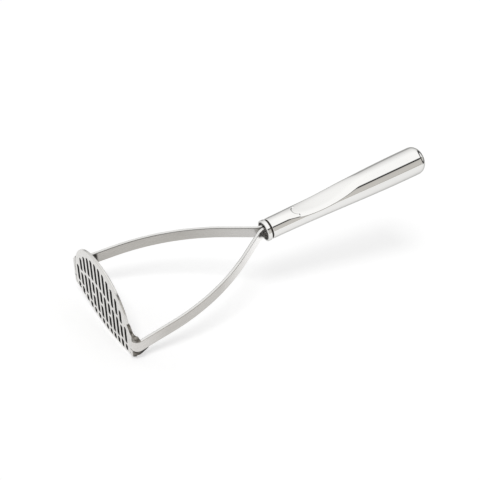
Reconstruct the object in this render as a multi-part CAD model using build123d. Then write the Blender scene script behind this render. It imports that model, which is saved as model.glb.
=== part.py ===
from build123d import *
import math
import os

# A one-hand potato masher in stainless steel, standing on its mashing face.
# The handle's axis is Z, the two arms lie in the XZ plane, and the thumb rest faces -Y.
# The origin is where the handle's axis meets the mashing face. All sizes are in millimetres.

# Overall
overall_length = 305.0

# Mashing plate: near-round towards -Y, ended by a shallow arc towards +Y
plate_thickness = 2.4
plate_half_width = 44.7
plate_round_reach = 50.2
plate_round_fullness = 0.62
plate_shallow_reach = 22.0
plate_shallow_drop = 9.2
plate_corner_radius = 6.0
plate_edge_radius = 0.7

# Slots, in columns that run along Y
slot_columns = 13
split_columns = (-2, 0, 2)
slot_width = 3.6
field_side_margin = 4.1
field_round_margin = 5.4
field_shallow_margin = 1.8
end_column_inset = 2.0
band_inset = 3.9
band_center = -2.65
band_half_height = 15.0
row_bridge = 2.9
dash_bridge = 2.1
middle_bridge = 2.8
end_slot_start = -14.0
end_slot_stop = 4.6

# Strap arms
strap_width = 11.2
strap_thickness = 2.6
strap_edge_radius = 0.7
foot_bend_radius = 4.6
heel_overhang = 6.5
shoulder_set_in = 9.2
shoulder_z = 83.0
shoulder_radius = 200.0
neck_bend_drop = 3.5
neck_bend_radius = 13.0
tang_width = 9.6
tang_length = 20.5

# Weld fillets that widen each foot along the plate's rim, on the round and the shallow side
weld_inner_x = 40.8
weld_toe_height = 2.4
round_weld_reach = 20.0
round_weld_toe_x = 42.6
round_weld_height = 6.7
shallow_weld_reach = 13.5
shallow_weld_toe_x = 46.5
shallow_weld_knee = 9.5
shallow_weld_height = 12.8
shallow_weld_corner = 3.0

# Neck: ferrule, groove and plug
ferrule_radius = 9.1
ferrule_front = 149.8
ferrule_length = 3.5
ferrule_edge_radius = 0.6
neck_groove = 1.5
plug_radius = 7.7
plug_recess = 1.6
plug_cover = 3.0

# Handle shell
handle_wall = 1.2
handle_waist_share = 0.5
handle_waist_radius = 10.4
handle_swell_radius = 12.1
butt_length = 17.0
butt_corner_radius = 8.0

# Thumb rest, a long shallow scoop, steeper at its front, where it starts at a small curved lip
scoop_setback = 21.7
scoop_length = 69.0
scoop_half_width = 10.0
scoop_front_radius = 83.0
scoop_back_radius = 150.0
scoop_lowest = 22.5
scoop_floor = 4.9
scoop_lip_radius = 7.0
scoop_lip_length = 5.6
scoop_lip_fillet = 0.5

# How far beyond a feature its edges are looked for
edge_search = 1.0

# Sizes that follow from those above
plate_shallow_corner = plate_shallow_reach - plate_shallow_drop
plate_shallow_radius = (plate_half_width ** 2 / plate_shallow_drop + plate_shallow_drop) / 2
field_half_width = plate_half_width - field_side_margin
field_reach = plate_round_reach - field_round_margin
band_half_width = field_half_width - band_inset
half_columns = slot_columns // 2
slot_pitch = (field_half_width - end_column_inset) / half_columns
foot_middle = strap_thickness / 2
heel_x = plate_half_width + heel_overhang
heel_outer_x = heel_x + strap_thickness / 2
shoulder_x = heel_x - shoulder_set_in
strap_middle = strap_thickness / 2
neck_z = ferrule_front - neck_bend_drop
ferrule_back = ferrule_front + ferrule_length
plug_front = ferrule_front + plug_recess
tang_end = plug_front + tang_length
plug_end = tang_end + plug_cover
handle_front = ferrule_back + neck_groove
handle_front_radius = plug_radius + handle_wall
handle_swell_z = overall_length - butt_length
handle_waist_z = handle_front + handle_waist_share * (handle_swell_z - handle_front)
scoop_front = handle_front + scoop_setback
scoop_back = scoop_front + scoop_length
scoop_lip_end = scoop_front + scoop_lip_length
scoop_bottom_z = scoop_front + scoop_lowest


def shallow_edge(x):
    """Y of the plate's shallow side at x."""
    center = plate_shallow_reach - plate_shallow_radius
    return center + math.sqrt(plate_shallow_radius ** 2 - x ** 2)


def plate_outline():
    """Flat outline of the mashing plate."""
    side = plate_half_width
    corner = plate_shallow_corner
    tip = (0, -plate_round_reach)
    pull_x = plate_round_fullness * plate_half_width
    pull_y = -plate_round_fullness * plate_round_reach
    with BuildSketch() as outline:
        with BuildLine():
            Bezier((-side, 0), (-side, pull_y), (-pull_x, -plate_round_reach), tip)
            Bezier(tip, (pull_x, -plate_round_reach), (side, pull_y), (side, 0))
            Line((side, 0), (side, corner))
            ThreePointArc((side, corner), (0, plate_shallow_reach), (-side, corner))
            Line((-side, corner), (-side, 0))
        make_face()
        fillet(outline.vertices().group_by(Axis.Y)[-1], plate_corner_radius)
    return outline.sketch


def column_slots(column):
    """Start and stop along Y of each slot in one column, counted from the middle column."""
    x = column * slot_pitch
    field_edge = -field_reach * math.sqrt(1 - (x / field_half_width) ** 2)
    dash_stop = shallow_edge(x) - field_shallow_margin
    if abs(column) == half_columns:
        return [(end_slot_start, end_slot_stop), (end_slot_stop + dash_bridge, dash_stop)]
    band_half = band_half_height * math.sqrt(1 - (x / band_half_width) ** 2)
    band_start = band_center - band_half
    band_stop = band_center + band_half
    slots = [(field_edge, band_start - row_bridge), (band_stop + dash_bridge, dash_stop)]
    if column in split_columns:
        slots.append((band_start, band_center - middle_bridge / 2))
        slots.append((band_center + middle_bridge / 2, band_stop))
    else:
        slots.append((band_start, band_stop))
    return slots


def make_plate():
    """Slotted mashing plate with a rounded rim."""
    plate = extrude(plate_outline(), plate_thickness)
    plate = fillet(plate.faces().filter_by(Axis.Z).edges(), plate_edge_radius)
    with BuildSketch() as slots:
        for column in range(-half_columns, half_columns + 1):
            for start, stop in column_slots(column):
                with Locations((column * slot_pitch, (start + stop) / 2)):
                    SlotOverall(stop - start, slot_width, rotation=90)
    return plate - extrude(slots.sketch, plate_thickness)


def strap_side(foot_start):
    """Side view of the right arm's strap, with its foot starting at that X."""
    with BuildSketch(Plane.XZ) as side:
        with BuildLine() as middle:
            FilletPolyline(
                (foot_start, foot_middle),
                (heel_x, foot_middle),
                (shoulder_x, shoulder_z),
                (strap_middle, neck_z),
                (strap_middle, tang_end),
                radius=[foot_bend_radius, shoulder_radius, neck_bend_radius],
            )
        trace(middle.line, strap_thickness)
    return side.sketch


def make_right_arm():
    """Strap arm on the +X side: foot against the plate's rim, heel bend, bowed shank and tang."""
    arm = extrude(strap_side(plate_half_width), strap_width / 2, both=True)
    side_edges = arm.faces().filter_by(Axis.Y).edges()
    side_edges = side_edges.filter_by_position(Axis.Z, -edge_search, plug_front)
    side_edges -= side_edges.filter_by(Axis.Z).group_by(Axis.Z)[0]
    arm = fillet(side_edges, strap_edge_radius)
    cut_width = (strap_width - tang_width) / 2
    cut = Box(2 * strap_width, cut_width, tang_length)
    for side_sign in (-1, 1):
        y = side_sign * (tang_width + cut_width) / 2
        arm -= Pos(0, y, plug_front + tang_length / 2) * cut
    return arm


def weld_fillet(plan, rise):
    """Fillet beside the right foot, with that plan in XY and that rise in YZ."""
    body = extrude(strap_side(weld_inner_x), 2 * strap_width, both=True)
    body &= extrude(plan, shallow_weld_height)
    body &= extrude(rise, heel_outer_x)
    return body - extrude(plate_outline(), plate_thickness)


def make_right_round_weld():
    """Fillet from the strap's edge along the plate's round side."""
    edge = -strap_width / 2
    with BuildSketch() as plan:
        with BuildLine():
            Polyline(
                (weld_inner_x, edge),
                (heel_outer_x, edge),
                (round_weld_toe_x, -round_weld_reach),
                (weld_inner_x, -round_weld_reach),
                close=True,
            )
        make_face()
    with BuildSketch(Plane.YZ) as rise:
        with BuildLine():
            Polyline(
                (edge, 0),
                (edge, round_weld_height),
                (-round_weld_reach, weld_toe_height),
                (-round_weld_reach, 0),
                close=True,
            )
        make_face()
    return weld_fillet(plan.sketch, rise.sketch)


def make_right_shallow_weld():
    """Fillet from the strap's edge round the plate's corner on its shallow side."""
    edge = strap_width / 2
    with BuildSketch() as plan:
        with BuildLine():
            Polyline(
                (weld_inner_x, edge),
                (heel_outer_x, edge),
                (heel_outer_x, shallow_weld_knee),
                (shallow_weld_toe_x, shallow_weld_reach),
                (weld_inner_x, shallow_weld_reach),
                close=True,
            )
        make_face()
        knee = plan.vertices().sort_by(Axis.X)[-2:].sort_by(Axis.Y)[-1]
        fillet(knee, shallow_weld_corner)
    with BuildSketch(Plane.YZ) as rise:
        with BuildLine():
            Polyline(
                (edge, 0),
                (edge, shallow_weld_height),
                (shallow_weld_knee, weld_toe_height),
                (shallow_weld_reach, weld_toe_height),
                (shallow_weld_reach, 0),
                close=True,
            )
        make_face()
    return weld_fillet(plan.sketch, rise.sketch)


def make_ferrule():
    """Bright collar ring round the plug."""
    ring = Cylinder(ferrule_radius, ferrule_length)
    ring = fillet(ring.edges(), ferrule_edge_radius)
    ring -= Cylinder(plug_radius, ferrule_length)
    return Pos(0, 0, ferrule_front + ferrule_length / 2) * ring


def make_plug():
    """Plug in the handle's mouth, pierced by the two tangs."""
    height = plug_end - plug_front
    plug = Pos(0, 0, plug_front + height / 2) * Cylinder(plug_radius, height)
    tangs = Box(2 * strap_thickness, tang_width, tang_length)
    return plug - Pos(0, 0, plug_front + tang_length / 2) * tangs


def turned_handle(inset):
    """Round handle body, drawn in from the outer surface by inset."""
    back = overall_length - inset
    with BuildSketch(Plane.XZ) as half:
        with BuildLine():
            Line((0, handle_front), (handle_front_radius - inset, handle_front))
            side = Spline(
                (handle_front_radius - inset, handle_front),
                (handle_waist_radius - inset, handle_waist_z),
                (handle_swell_radius - inset, handle_swell_z),
                tangents=((0, 1), (0, 1)),
            )
            Line(side @ 1, (handle_swell_radius - inset, back))
            Line((handle_swell_radius - inset, back), (0, back))
            Line((0, back), (0, handle_front))
        make_face()
        butt = half.vertices().group_by(Axis.Y)[-1].sort_by(Axis.X)[-1]
        fillet(butt, butt_corner_radius - inset)
    return revolve(half.sketch, Axis.Z)


def scoop_roller(radius, margin):
    """Cylinder across the handle that touches the thumb rest's floor, grown by margin."""
    roller = Rot(0, 90, 0) * Cylinder(radius + margin, 4 * scoop_half_width)
    return Pos(0, -(scoop_floor + radius), scoop_bottom_z) * roller


def scoop_cutter(margin):
    """Body that clears the thumb rest, grown by margin."""
    side = scoop_half_width + margin
    front = scoop_front - margin
    radius = scoop_lip_radius + margin
    corner = math.sqrt(radius ** 2 - (front + radius - scoop_lip_end) ** 2)
    with BuildSketch(Plane.XZ) as front_plan:
        with BuildLine():
            lip = ThreePointArc((-corner, scoop_lip_end), (0, front), (corner, scoop_lip_end))
            Polyline(
                lip @ 1,
                (side, scoop_lip_end),
                (side, scoop_bottom_z),
                (-side, scoop_bottom_z),
                (-side, scoop_lip_end),
                lip @ 0,
            )
        make_face()
    with BuildSketch(Plane.XZ) as back_plan:
        with Locations((0, (scoop_bottom_z + scoop_back) / 2)):
            Rectangle(2 * side, scoop_back - scoop_bottom_z)
    depth = 2 * handle_swell_radius
    front_part = extrude(front_plan.sketch, depth) & scoop_roller(scoop_front_radius, margin)
    back_part = extrude(back_plan.sketch, depth) & scoop_roller(scoop_back_radius, margin)
    return front_part + back_part


def make_handle():
    """Hollow handle, open at its front, with the thumb rest pressed into it."""
    shell = turned_handle(0) - scoop_cutter(0)
    lip_edges = shell.edges().filter_by_position(
        Axis.Z, scoop_front - edge_search, scoop_lip_end
    )
    shell = fillet(lip_edges, scoop_lip_fillet)
    cavity = turned_handle(handle_wall) - scoop_cutter(handle_wall)
    return shell - cavity


right_pieces = {
    "right_arm": make_right_arm(),
    "right_round_weld": make_right_round_weld(),
    "right_shallow_weld": make_right_shallow_weld(),
}
pieces = {
    "mash_plate": make_plate(),
    "ferrule": make_ferrule(),
    "neck_plug": make_plug(),
    "handle_shell": make_handle(),
}
for name, piece in right_pieces.items():
    pieces[name] = piece
    pieces[name.replace("right", "left")] = mirror(piece, Plane.YZ)

os.makedirs("parts", exist_ok=True)
for name, piece in pieces.items():
    export_step(piece, f"parts/{name}.step")
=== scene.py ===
import math

import bpy
from mathutils import Matrix, Vector


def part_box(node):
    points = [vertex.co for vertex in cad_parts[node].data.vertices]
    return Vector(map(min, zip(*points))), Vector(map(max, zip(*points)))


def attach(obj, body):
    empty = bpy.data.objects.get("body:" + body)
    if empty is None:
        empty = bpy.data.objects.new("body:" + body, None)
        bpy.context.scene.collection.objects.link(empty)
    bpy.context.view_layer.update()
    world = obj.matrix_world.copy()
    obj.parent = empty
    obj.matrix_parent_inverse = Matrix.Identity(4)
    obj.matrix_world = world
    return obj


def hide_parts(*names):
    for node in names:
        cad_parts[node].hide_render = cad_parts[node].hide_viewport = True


# A polished steel potato masher on a white studio floor.
# Lengths are in millimetres in the part's frame, and go to metres through MM. Angles are in degrees.
MM = 0.001

# Camera, at the photograph's viewing angle
camera_aim = (-5.13, 3.9, 130.33)
camera_distance = 1630.0
camera_azimuth = 38.23
camera_elevation = -19.306
camera_roll = 64.866
camera_lens = 150.0
camera_sensor = 36.0

# Floor: it lies just under the part's lowest point, rises towards the near arm and falls away behind the
# handle
floor_tilt = 23.95
floor_roll = -10.2
floor_clearance = 0.4
floor_size = 6000.0
floor_color = (0.86, 0.86, 0.86)
floor_glow = 0.37

# Studio, as colours by the angle about the handle from the camera's side towards the top of the picture
studio_stops = (
    (-160, (0.53, 0.52, 0.50)),
    (-120, (0.68, 0.67, 0.66)),
    (-62, (0.84, 0.83, 0.81)),
    (-54, (0.53, 0.51, 0.48)),
    (-46, (0.68, 0.66, 0.63)),
    (-14, (0.64, 0.62, 0.59)),
    (-9, (0.04, 0.04, 0.04)),
    (-1, (0.04, 0.04, 0.04)),
    (3, (1.18, 1.18, 1.18)),
    (62, (1.18, 1.18, 1.18)),
    (82, (1.08, 1.08, 1.08)),
    (104, (0.95, 0.95, 0.95)),
    (126, (0.82, 0.82, 0.82)),
    (129, (0.45, 0.45, 0.45)),
    (137, (0.45, 0.45, 0.45)),
    (141, (0.75, 0.75, 0.75)),
)

# Between these heights of a direction the studio fades downwards to this share of its colours, on white
studio_fade_low = -0.12
studio_fade_high = 0.02
studio_low_share = 0.3

# Dark card above the butt, as brightness by the height of a direction
butt_card = ((0.82, 1.0), (0.86, 0.08), (0.93, 0.08), (0.96, 1.0))

# Light on what isn't metal, and the key that casts the shadow
soft_light = 0.5
key_direction = (0.41, -1.0, -0.27)
key_angle = 13.0
key_strength = 1.27

# Handle: its turned outline and the thumb rest
handle_front_radius = 8.9
handle_waist_radius = 10.4
handle_swell_from_butt = 17.0
handle_mouth_radius = 7.7
handle_mouth_depth = 6.0
handle_rim_radius = 0.4
butt_corner_radius = 8.0
scoop_setback = 21.7
scoop_front_radius = 83.0
scoop_back_radius = 115.0
scoop_lowest = 22.5
scoop_floor = 4.9
scoop_edge_blend = 3.6
scoop_lip_radius = 4.4
scoop_lip_length = 1.1
scoop_before_lip = 0.5
handle_segments = 288
ring_step = 0.5
rim_rings = 4
corner_rings = 14

# Noise of the finishes: its waves are counted per metre along X, Y and Z, and its values between these
# two run from a finish's first tone and roughness to its second
noise_low = 0.3
noise_high = 0.7
plain_detail = 3.0
fine_detail = 4.0

# Polished steel; the tint is of its reflection where it is seen edge-on
polish_line_waves = (1200, 1200, 25)
polish_cloud_waves = (40, 40, 15)
polish_tones = ((0.78, 0.775, 0.76), (0.82, 0.815, 0.80))
polish_roughness = (0.03, 0.08)
polish_edge_tint = (0.45, 0.45, 0.44)

# Straps: painted sheen brightens the satin between two heights, more on the outer faces, and paints the
# outer bend bright too
strap_line_waves = (50, 2600, 50)
strap_line_depth = 0.004
strap_roughness = (0.22, 0.30)
painted_sheen_low = 88.0
painted_sheen_high = 142.0
painted_bend_sheen_top = 32.0
inner_foot_tones = ((0.42, 0.405, 0.38), (0.49, 0.475, 0.45))
inner_neck_sheen_tones = ((0.51, 0.50, 0.485), (0.58, 0.57, 0.555))
outer_foot_sheen_tones = ((0.48, 0.465, 0.44), (0.55, 0.535, 0.51))
outer_neck_sheen_tones = ((0.86, 0.85, 0.835), (0.93, 0.92, 0.905))
outer_bend_sheen_tones = ((0.64, 0.625, 0.605), (0.71, 0.695, 0.675))

# Narrow sides of the straps, and the painted dark reflection on their upper inner corners
strap_edge_waves = (60, 60, 60)
strap_edge_tones = ((0.67, 0.665, 0.65), (0.73, 0.725, 0.71))
strap_corner_shade_tones = ((0.20, 0.195, 0.185), (0.26, 0.255, 0.245))
strap_edge_roughness = (0.24, 0.30)

# Painted black shade on the faces of the feet that look at the axis
foot_shade_waves = (300, 300, 300)
foot_shade_tones = ((0.012, 0.011, 0.010), (0.05, 0.045, 0.04))
foot_shade_height = 21.5
foot_shade_blur = 0.8
foot_shade_facing = -0.7

# Plate, and the painted shade on the walls of its slots
plate_waves = (1600, 120, 400)
plate_tones = ((0.61, 0.60, 0.58), (0.70, 0.69, 0.67))
plate_roughness = (0.14, 0.24)
slot_shade_waves = (900, 900, 2500)
slot_shade_tones = ((0.008, 0.008, 0.007), (0.03, 0.029, 0.027))
slot_roughness = (0.5, 0.7)
slot_shine = 0.1

# Weld metal: the shallow side's fillets carry painted shade, black near their tops
weld_waves = (420, 420, 420)
weld_depth = 0.5
weld_roughness = (0.15, 0.35)
weld_foot_top = 3.5
weld_top_bottom = 6.0
round_weld_tones = ((0.08, 0.075, 0.065), (0.46, 0.44, 0.41))
shallow_weld_shade_tones = ((0.02, 0.018, 0.015), (0.24, 0.225, 0.20))
top_shade_tones = ((0.004, 0.004, 0.003), (0.02, 0.018, 0.015))

# Moulded plug; its near-black tone also paints the shade in the recess it sits in
plug_waves = (2000, 2000, 2000)
plug_depth = 0.05
plug_and_shade_tones = ((0.012, 0.009, 0.006), (0.035, 0.027, 0.02))
plug_roughness = (0.4, 0.6)

# Slot walls: faces whose normals rise by less than this share, at least this far inside the plate's
# outline, whose shallow edge falls back by this much at its ends
wall_share = 0.5
rim_margin = 1.5
shallow_corner_drop = 9.5

# A face is flat towards a direction when its normal has more than the first share of it, and turned
# towards it when it has more than the second
flat_share = 0.95
turned_share = 0.3

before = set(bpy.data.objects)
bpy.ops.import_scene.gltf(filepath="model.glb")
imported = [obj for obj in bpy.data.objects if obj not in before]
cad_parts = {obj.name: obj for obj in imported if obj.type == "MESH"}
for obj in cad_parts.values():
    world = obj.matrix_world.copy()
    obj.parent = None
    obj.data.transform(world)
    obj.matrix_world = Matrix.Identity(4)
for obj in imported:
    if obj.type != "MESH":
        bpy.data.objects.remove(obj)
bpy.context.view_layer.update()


def calculate(tree, operation, *values):
    """Math node on sockets and numbers."""
    node = tree.nodes.new("ShaderNodeMath")
    node.operation = operation
    for value, socket in zip(values, node.inputs):
        if isinstance(value, bpy.types.NodeSocket):
            tree.links.new(value, socket)
        else:
            socket.default_value = value
    return node.outputs["Value"]


def mix_colors(tree, share, first, second):
    """First colour where the share is 0 and the second where it is 1."""
    mix = tree.nodes.new("ShaderNodeMix")
    mix.data_type = "RGBA"
    tree.links.new(share, mix.inputs["Factor"])
    tree.links.new(first, mix.inputs["A"])
    tree.links.new(second, mix.inputs["B"])
    return mix.outputs["Result"]


def noise(tree, waves, detail):
    """Noise with that many waves per metre along each axis."""
    place = tree.nodes.new("ShaderNodeTexCoord")
    stretch = tree.nodes.new("ShaderNodeMapping")
    stretch.inputs["Scale"].default_value = waves
    tree.links.new(place.outputs["Object"], stretch.inputs["Vector"])
    field = tree.nodes.new("ShaderNodeTexNoise")
    field.inputs["Scale"].default_value = 1.0
    field.inputs["Detail"].default_value = detail
    tree.links.new(stretch.outputs["Vector"], field.inputs["Vector"])
    return field.outputs["Fac"]


def spread(tree, value, limits):
    """Brings noise to the range between two limits."""
    change = tree.nodes.new("ShaderNodeMapRange")
    change.inputs["From Min"].default_value = noise_low
    change.inputs["From Max"].default_value = noise_high
    change.inputs["To Min"].default_value, change.inputs["To Max"].default_value = limits
    tree.links.new(value, change.inputs["Value"])
    return change.outputs["Result"]


def tone(tree, value, tones):
    """Colour between two tones by noise."""
    ramp = tree.nodes.new("ShaderNodeValToRGB")
    for element, position, color in zip(ramp.color_ramp.elements, (noise_low, noise_high), tones):
        element.position = position
        element.color = (*color, 1)
    tree.links.new(value, ramp.inputs["Fac"])
    return ramp.outputs["Color"]


def object_place(tree):
    """Place on the part, as a node with outputs X, Y and Z."""
    place = tree.nodes.new("ShaderNodeTexCoord")
    spot = tree.nodes.new("ShaderNodeSeparateXYZ")
    tree.links.new(place.outputs["Object"], spot.inputs["Vector"])
    return spot


def height_share(tree, start, stop):
    """Share that goes from 0 to 1 between two heights above the mashing face."""
    share = tree.nodes.new("ShaderNodeMapRange")
    share.inputs["From Min"].default_value = start * MM
    share.inputs["From Max"].default_value = stop * MM
    tree.links.new(object_place(tree).outputs["Z"], share.inputs["Value"])
    return share.outputs["Result"]


def outward(tree):
    """Share of the surface's normal that points away from the axis, across the arms."""
    place = tree.nodes.new("ShaderNodeTexCoord")
    facing = tree.nodes.new("ShaderNodeSeparateXYZ")
    tree.links.new(place.outputs["Normal"], facing.inputs["Vector"])
    side = calculate(tree, "SIGN", object_place(tree).outputs["X"])
    return calculate(tree, "MULTIPLY", side, facing.outputs["X"])


def new_material(name, metallic):
    """Empty procedural material; returns it, its node tree and its shader."""
    material = bpy.data.materials.new(name)
    material.use_nodes = True
    shader = material.node_tree.nodes["Principled BSDF"]
    shader.inputs["Metallic"].default_value = metallic
    return material, material.node_tree, shader


def add_bump(tree, shader, height, depth):
    """Relief of that depth in millimetres."""
    bump = tree.nodes.new("ShaderNodeBump")
    bump.inputs["Distance"].default_value = depth * MM
    tree.links.new(height, bump.inputs["Height"])
    tree.links.new(bump.outputs["Normal"], shader.inputs["Normal"])


def polished_steel():
    """Mirror finish with faint polishing lines along the handle."""
    material, tree, shader = new_material("polished_steel", 1.0)
    lines = noise(tree, polish_line_waves, plain_detail)
    cloud = noise(tree, polish_cloud_waves, plain_detail)
    tree.links.new(tone(tree, cloud, polish_tones), shader.inputs["Base Color"])
    tree.links.new(spread(tree, lines, polish_roughness), shader.inputs["Roughness"])
    shader.inputs["Specular Tint"].default_value = (*polish_edge_tint, 1)
    return material


def strap_steel():
    """Satin finish brushed along the strap, with painted sheen brighter towards the neck, on the outer
    faces and on the outer bend, and painted black shade inside the feet.
    """
    material, tree, shader = new_material("strap_steel", 1.0)
    lines = noise(tree, strap_line_waves, fine_detail)
    # Painted sheen: the strap's colour brightens towards the neck, more on the outer faces, and on the
    # outer bend
    height = height_share(tree, painted_sheen_low, painted_sheen_high)
    inner_foot = tone(tree, lines, inner_foot_tones)
    inner_neck = tone(tree, lines, inner_neck_sheen_tones)
    inner = mix_colors(tree, height, inner_foot, inner_neck)
    outer_foot = tone(tree, lines, outer_foot_sheen_tones)
    outer_neck = tone(tree, lines, outer_neck_sheen_tones)
    outer = mix_colors(tree, height, outer_foot, outer_neck)
    outer_bend = tone(tree, lines, outer_bend_sheen_tones)
    outer = mix_colors(tree, height_share(tree, painted_bend_sheen_top, 0), outer, outer_bend)
    facing = outward(tree)
    is_outer = calculate(tree, "GREATER_THAN", facing, 0)
    steel = mix_colors(tree, is_outer, inner, outer)
    # Painted shade: near black on the feet's faces that look at the axis, up to a height
    foot_shade_color = tone(tree, noise(tree, foot_shade_waves, plain_detail), foot_shade_tones)
    is_inner = calculate(tree, "LESS_THAN", facing, foot_shade_facing)
    is_foot = height_share(tree, foot_shade_height + foot_shade_blur, foot_shade_height - foot_shade_blur)
    shaded_foot = calculate(tree, "MULTIPLY", is_inner, is_foot)
    tree.links.new(mix_colors(tree, shaded_foot, steel, foot_shade_color), shader.inputs["Base Color"])
    tree.links.new(spread(tree, lines, strap_roughness), shader.inputs["Roughness"])
    add_bump(tree, shader, lines, strap_line_depth)
    return material


def strap_side_steel(name, tones):
    """Smoother finish beside the straps' broad faces; with dark tones it paints the dark reflection on
    their upper inner corners.
    """
    material, tree, shader = new_material(name, 1.0)
    cloud = noise(tree, strap_edge_waves, plain_detail)
    tree.links.new(tone(tree, cloud, tones), shader.inputs["Base Color"])
    tree.links.new(spread(tree, cloud, strap_edge_roughness), shader.inputs["Roughness"])
    return material


def plate_steel():
    """Stamped plate with a fine grain along its slots."""
    material, tree, shader = new_material("plate_steel", 1.0)
    grain = noise(tree, plate_waves, fine_detail)
    tree.links.new(tone(tree, grain, plate_tones), shader.inputs["Base Color"])
    tree.links.new(spread(tree, grain, plate_roughness), shader.inputs["Roughness"])
    return material


def slot_wall_painted_shade():
    """Near-black painted shade on the walls inside the slots."""
    material, tree, shader = new_material("slot_wall_painted_shade", 0.0)
    shader.inputs["Specular IOR Level"].default_value = slot_shine
    wall_speckle = noise(tree, slot_shade_waves, plain_detail)
    tree.links.new(tone(tree, wall_speckle, slot_shade_tones), shader.inputs["Base Color"])
    tree.links.new(spread(tree, wall_speckle, slot_roughness), shader.inputs["Roughness"])
    return material


def weld_steel(name, foot_tones, top_tones):
    """Lumpy dark weld metal, with tones for its foot and for its top."""
    material, tree, shader = new_material(name, 1.0)
    lumps = noise(tree, weld_waves, fine_detail)
    foot = tone(tree, lumps, foot_tones)
    top = tone(tree, lumps, top_tones)
    share = height_share(tree, weld_foot_top, weld_top_bottom)
    tree.links.new(mix_colors(tree, share, foot, top), shader.inputs["Base Color"])
    tree.links.new(spread(tree, lumps, weld_roughness), shader.inputs["Roughness"])
    add_bump(tree, shader, lumps, weld_depth)
    return material


def plug_plastic():
    """Dark moulded plastic with a fine matt texture; its near-black tone also paints the shade in the
    recess.
    """
    material, tree, shader = new_material("plug_plastic", 0.0)
    grain = noise(tree, plug_waves, plain_detail)
    tree.links.new(tone(tree, grain, plug_and_shade_tones), shader.inputs["Base Color"])
    tree.links.new(spread(tree, grain, plug_roughness), shader.inputs["Roughness"])
    add_bump(tree, shader, grain, plug_depth)
    return material


polish = polished_steel()
strap = strap_steel()
plate_finish = plate_steel()
round_weld = weld_steel("round_weld_steel", round_weld_tones, round_weld_tones)
# The shallow fillets' near-black tones are painted shade, darkest near their tops
shallow_weld = weld_steel("shallow_weld_painted_shade", shallow_weld_shade_tones, top_shade_tones)
finishes = {
    "mash_plate": plate_finish,
    "left_arm": strap,
    "right_arm": strap,
    "left_round_weld": round_weld,
    "left_shallow_weld": shallow_weld,
    "right_round_weld": round_weld,
    "right_shallow_weld": shallow_weld,
    "ferrule": polish,
    "neck_plug": plug_plastic(),
    "handle_shell": polish,
}
for name, material in finishes.items():
    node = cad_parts[name]
    node.data.materials.clear()
    node.data.materials.append(material)


def add_finish(mesh, material):
    """Adds a material to a mesh and returns its index there."""
    mesh.materials.append(material)
    return len(mesh.materials) - 1


def paint_slot_wall_shade():
    """Paints shade on the upright faces inside the plate's outline, as a near-black finish."""
    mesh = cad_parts["mash_plate"].data
    wall = add_finish(mesh, slot_wall_painted_shade())
    low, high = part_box("mash_plate")
    margin = rim_margin * MM
    corner_drop = shallow_corner_drop * MM
    for face in mesh.polygons:
        spot = face.center
        across = spot.x / (high.x - margin)
        along = min(spot.y, 0) / (low.y + margin)
        shallow_edge = high.y - margin - corner_drop * (spot.x / high.x) ** 2
        inside = across ** 2 + along ** 2 < 1 and spot.y < shallow_edge
        if abs(face.normal.z) < wall_share and inside:
            face.material_index = wall


def grind_feet():
    """Gives the feet's flat undersides the finish of the mashing face."""
    for name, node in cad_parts.items():
        if not name.endswith(("_arm", "_weld")):
            continue
        ground = add_finish(node.data, plate_finish)
        for face in node.data.polygons:
            if face.normal.z < -flat_share:
                face.material_index = ground


def smooth_strap_sides():
    """Gives the narrow sides of the straps their smoother finish, and paints a dark reflection on the upper
    inner corners.
    """
    edge_steel = strap_side_steel("strap_edge_steel", strap_edge_tones)
    corner_reflection_steel = strap_side_steel("strap_corner_dark_reflection", strap_corner_shade_tones)
    for name in ("left_arm", "right_arm"):
        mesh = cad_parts[name].data
        edge = add_finish(mesh, edge_steel)
        corner = add_finish(mesh, corner_reflection_steel)
        for face in mesh.polygons:
            if abs(face.normal.y) > flat_share:
                face.material_index = edge
            # Upper inner corners: painted dark reflection
            elif face.normal.y < -turned_share and face.normal.x * face.center.x < 0:
                face.material_index = corner


paint_slot_wall_shade()
grind_feet()
smooth_strap_sides()


def smooth_step(share):
    """Share eased at both ends."""
    share = min(max(share, 0), 1)
    return share * share * (3 - 2 * share)


def smooth_min(first, second, blend):
    """Lower of two lengths, rounded off where they cross."""
    overlap = max(blend - abs(first - second), 0) / blend
    return min(first, second) - overlap * overlap * blend / 4


def hermite(start, stop, start_slope, stop_slope, length, share):
    """Cubic from start to stop over that length, with those end slopes."""
    rest = 1 - share
    bend = start_slope * rest - stop_slope * share
    return start + (stop - start) * share * share * (3 - 2 * share) + bend * length * share * rest


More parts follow.
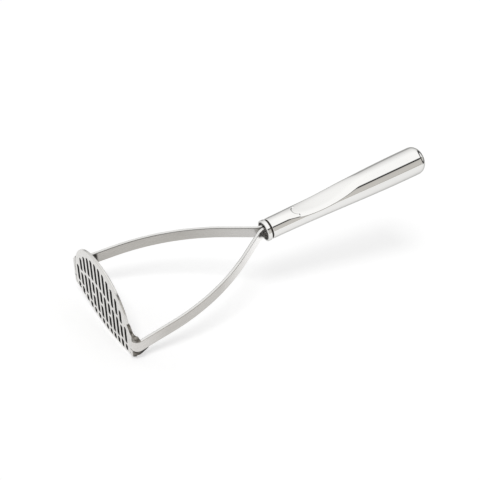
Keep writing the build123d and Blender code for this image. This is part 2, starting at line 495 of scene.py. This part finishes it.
class Handle:
    """Surface of the handle as a radius at each height and angle, in millimetres and radians."""

    def __init__(self):
        low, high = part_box("handle_shell")
        self.front = low.z / MM
        self.back = high.z / MM
        self.swell = high.x / MM
        self.swell_z = self.back - handle_swell_from_butt
        self.half = (self.swell_z - self.front) / 2
        self.waist_z = self.front + self.half
        self.waist_slope = 3 * (self.swell - handle_front_radius) / (4 * self.half)
        self.scoop_front = self.front + scoop_setback

    def turned_radius(self, z):
        """Radius of the round body at height z."""
        corner_z = self.back - butt_corner_radius
        if z > corner_z:
            drop = min(z - corner_z, butt_corner_radius)
            return self.swell - butt_corner_radius + math.sqrt(butt_corner_radius ** 2 - drop ** 2)
        if z > self.swell_z:
            return self.swell
        if z > self.waist_z:
            share = (z - self.waist_z) / self.half
            return hermite(handle_waist_radius, self.swell, self.waist_slope, 0, self.half, share)
        share = (z - self.front) / self.half
        return hermite(handle_front_radius, handle_waist_radius, 0, self.waist_slope, self.half, share)

    def radius(self, z, angle):
        """Radius with the thumb rest pressed in on the -Y side."""
        round_radius = self.turned_radius(z)
        down = -math.sin(angle)
        along = z - self.scoop_front
        from_lowest = along - scoop_lowest
        roller = scoop_front_radius if from_lowest < 0 else scoop_back_radius
        if down <= 0 or abs(from_lowest) > roller:
            return round_radius
        rise = roller - math.sqrt(roller ** 2 - from_lowest ** 2)
        pressed = smooth_min(round_radius, (scoop_floor + rise) / down, scoop_edge_blend)
        x = min(abs(pressed * math.cos(angle)), scoop_lip_radius)
        lip = scoop_lip_radius - math.sqrt(scoop_lip_radius ** 2 - x ** 2)
        step = smooth_step((along - lip) / scoop_lip_length)
        share = scoop_before_lip + (1 - scoop_before_lip) * step
        return round_radius + (pressed - round_radius) * share

    def heights(self):
        """Heights of the rings, closest round the butt's corner."""
        start = self.front + handle_rim_radius
        stop = self.back - butt_corner_radius
        count = math.ceil((stop - start) / ring_step)
        for index in range(count):
            yield start + (stop - start) * index / count
        for index in range(corner_rings + 1):
            turn = math.pi / 2 * index / corner_rings
            yield self.back - butt_corner_radius + butt_corner_radius * math.sin(turn)

    def rings(self):
        """Height and radius function of each ring, from inside the mouth to the butt."""
        rim = handle_front_radius - handle_rim_radius
        yield self.front + handle_mouth_depth, lambda angle: handle_mouth_radius
        yield self.front, lambda angle: handle_mouth_radius
        for index in range(rim_rings):
            turn = math.pi / 2 * index / rim_rings
            radius = rim + handle_rim_radius * math.sin(turn)
            yield self.front + handle_rim_radius * (1 - math.cos(turn)), lambda angle, r=radius: r
        for z in self.heights():
            yield z, lambda angle, z=z: self.radius(z, angle)


def add_handle():
    """Polished handle with soft edges round its thumb rest."""
    vertices = []
    faces = []
    rings = list(Handle().rings())
    for z, radius_at in rings:
        for index in range(handle_segments):
            angle = 2 * math.pi * index / handle_segments
            radius = radius_at(angle)
            vertices.append((radius * math.cos(angle) * MM, radius * math.sin(angle) * MM, z * MM))
    for ring in range(len(rings) - 1):
        base = ring * handle_segments
        upper = base + handle_segments
        for index in range(handle_segments):
            following = (index + 1) % handle_segments
            faces.append((base + index, base + following, upper + following, upper + index))
    last = (len(rings) - 1) * handle_segments
    faces.append(tuple(range(last, last + handle_segments)))
    mesh = bpy.data.meshes.new("polished_handle")
    mesh.from_pydata(vertices, [], faces)
    mesh.polygons.foreach_set("use_smooth", [True] * len(faces))
    handle = bpy.data.objects.new("polished_handle", mesh)
    bpy.context.scene.collection.objects.link(handle)
    handle.data.materials.append(polish)
    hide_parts("handle_shell")
    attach(handle, "root")


add_handle()


def floor_material():
    """White that glows a little, so that it stays white, and is clear from below."""
    material = bpy.data.materials.new("floor")
    material.use_nodes = True
    nodes = material.node_tree.nodes
    links = material.node_tree.links
    nodes.clear()
    output = nodes.new("ShaderNodeOutputMaterial")
    matte = nodes.new("ShaderNodeBsdfDiffuse")
    matte.inputs["Color"].default_value = (*floor_color, 1)
    glow = nodes.new("ShaderNodeEmission")
    glow.inputs["Strength"].default_value = floor_glow
    lit = nodes.new("ShaderNodeAddShader")
    links.new(matte.outputs["BSDF"], lit.inputs[0])
    links.new(glow.outputs["Emission"], lit.inputs[1])
    clear = nodes.new("ShaderNodeBsdfTransparent")
    side = nodes.new("ShaderNodeNewGeometry")
    mix = nodes.new("ShaderNodeMixShader")
    links.new(side.outputs["Backfacing"], mix.inputs["Fac"])
    links.new(lit.outputs["Shader"], mix.inputs[1])
    links.new(clear.outputs["BSDF"], mix.inputs[2])
    links.new(mix.outputs["Shader"], output.inputs["Surface"])
    return material


def add_floor():
    """Sloping floor just below the part's lowest point."""
    tilt = math.radians(floor_tilt)
    roll = math.radians(floor_roll)
    normal = Vector((
        math.sin(roll) * math.cos(tilt),
        -math.cos(roll) * math.cos(tilt),
        math.sin(tilt),
    ))
    lowest = min(
        normal.dot(node.matrix_world @ vertex.co)
        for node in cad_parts.values()
        for vertex in node.data.vertices
    )
    half = floor_size * MM / 2
    corners = [(-half, -half, 0), (half, -half, 0), (half, half, 0), (-half, half, 0)]
    mesh = bpy.data.meshes.new("floor")
    mesh.from_pydata(corners, [], [(0, 1, 2, 3)])
    floor = bpy.data.objects.new("floor", mesh)
    bpy.context.scene.collection.objects.link(floor)
    floor.rotation_mode = "QUATERNION"
    floor.rotation_quaternion = normal.to_track_quat("Z", "Y")
    floor.location = normal * (lowest - floor_clearance * MM)
    floor.data.materials.append(floor_material())


add_floor()


def direction_share(tree, direction, axis):
    """Share of a direction along an axis."""
    product = tree.nodes.new("ShaderNodeVectorMath")
    product.operation = "DOT_PRODUCT"
    product.inputs[1].default_value = axis
    tree.links.new(direction, product.inputs[0])
    return product.outputs["Value"]


def ramp_on_white(tree, value, stops):
    """Colours at those places between 0 and 1, with white at both ends."""
    ramp = tree.nodes.new("ShaderNodeValToRGB")
    elements = ramp.color_ramp.elements
    elements[0].color = (1, 1, 1, 1)
    elements[1].color = (1, 1, 1, 1)
    for position, color in stops:
        elements.new(position).color = (*color, 1)
    tree.links.new(value, ramp.inputs["Fac"])
    return ramp.outputs["Color"]


def studio_color(tree):
    """White tent with a dark slit, a dimmer room on the camera's side and a dark card above the butt."""
    azimuth = math.radians(camera_azimuth)
    direction = tree.nodes.new("ShaderNodeTexCoord").outputs["Generated"]
    upward = direction_share(tree, direction, (-math.cos(azimuth), -math.sin(azimuth), 0))
    forward = direction_share(tree, direction, (math.sin(azimuth), -math.cos(azimuth), 0))
    turn = tree.nodes.new("ShaderNodeMapRange")
    turn.inputs["From Min"].default_value = -math.pi
    turn.inputs["From Max"].default_value = math.pi
    tree.links.new(calculate(tree, "ARCTAN2", upward, forward), turn.inputs["Value"])
    room_stops = [((angle + 180) / 360, color) for angle, color in studio_stops]
    room = ramp_on_white(tree, turn.outputs["Result"], room_stops)
    height = direction_share(tree, direction, (0, 0, 1))
    fade = tree.nodes.new("ShaderNodeMapRange")
    fade.interpolation_type = "SMOOTHSTEP"
    fade.inputs["From Min"].default_value = studio_fade_low
    fade.inputs["From Max"].default_value = studio_fade_high
    fade.inputs["To Min"].default_value = studio_low_share
    tree.links.new(height, fade.inputs["Value"])
    faded = tree.nodes.new("ShaderNodeMix")
    faded.data_type = "RGBA"
    faded.inputs["A"].default_value = (1, 1, 1, 1)
    tree.links.new(fade.outputs["Result"], faded.inputs["Factor"])
    tree.links.new(room, faded.inputs["B"])
    card_stops = [(position, (level, level, level)) for position, level in butt_card]
    carded = tree.nodes.new("ShaderNodeMix")
    carded.data_type = "RGBA"
    carded.blend_type = "MULTIPLY"
    carded.inputs["Factor"].default_value = 1
    tree.links.new(faded.outputs["Result"], carded.inputs["A"])
    tree.links.new(ramp_on_white(tree, height, card_stops), carded.inputs["B"])
    return carded.outputs["Result"]


def add_world():
    """The studio as the camera and the metal see it, and a plain soft light for the rest."""
    world = bpy.data.worlds.new("studio")
    bpy.context.scene.world = world
    world.use_nodes = True
    tree = world.node_tree
    tree.nodes.clear()
    output = tree.nodes.new("ShaderNodeOutputWorld")
    studio = tree.nodes.new("ShaderNodeBackground")
    tree.links.new(studio_color(tree), studio.inputs["Color"])
    soft = tree.nodes.new("ShaderNodeBackground")
    soft.inputs["Color"].default_value = (soft_light, soft_light, soft_light, 1)
    path = tree.nodes.new("ShaderNodeLightPath")
    seen = path.outputs["Is Camera Ray"]
    for kind in ("Is Glossy Ray", "Is Transmission Ray"):
        seen = calculate(tree, "MAXIMUM", seen, path.outputs[kind])
    mix = tree.nodes.new("ShaderNodeMixShader")
    tree.links.new(seen, mix.inputs["Fac"])
    tree.links.new(soft.outputs["Background"], mix.inputs[1])
    tree.links.new(studio.outputs["Background"], mix.inputs[2])
    tree.links.new(mix.outputs["Shader"], output.inputs["Surface"])


add_world()


def add_key():
    """Broad distant light that casts the part's soft shadow and leaves the reflections to the studio."""
    light = bpy.data.lights.new("key", "SUN")
    light.angle = math.radians(key_angle)
    light.energy = key_strength
    key = bpy.data.objects.new("key", light)
    bpy.context.scene.collection.objects.link(key)
    key.rotation_mode = "QUATERNION"
    key.rotation_quaternion = Vector(key_direction).to_track_quat("Z", "Y")
    key.visible_glossy = False


add_key()


def add_camera():
    """Camera at the photograph's place, with its roll."""
    azimuth = math.radians(camera_azimuth)
    elevation = math.radians(camera_elevation)
    roll = math.radians(camera_roll)
    back = Vector((
        math.sin(azimuth) * math.cos(elevation),
        -math.cos(azimuth) * math.cos(elevation),
        math.sin(elevation),
    ))
    level_right = Vector((math.cos(azimuth), math.sin(azimuth), 0))
    level_up = back.cross(level_right)
    right = level_right * math.cos(roll) + level_up * math.sin(roll)
    up = back.cross(right)
    data = bpy.data.cameras.new("camera")
    data.lens = camera_lens
    data.sensor_width = camera_sensor
    data.sensor_fit = "HORIZONTAL"
    camera = bpy.data.objects.new("camera", data)
    bpy.context.scene.collection.objects.link(camera)
    place = (Vector(camera_aim) + back * camera_distance) * MM
    camera.matrix_world = Matrix.Translation(place) @ Matrix((right, up, back)).transposed().to_4x4()
    bpy.context.scene.camera = camera


add_camera()
bpy.context.scene.view_settings.view_transform = "Standard"
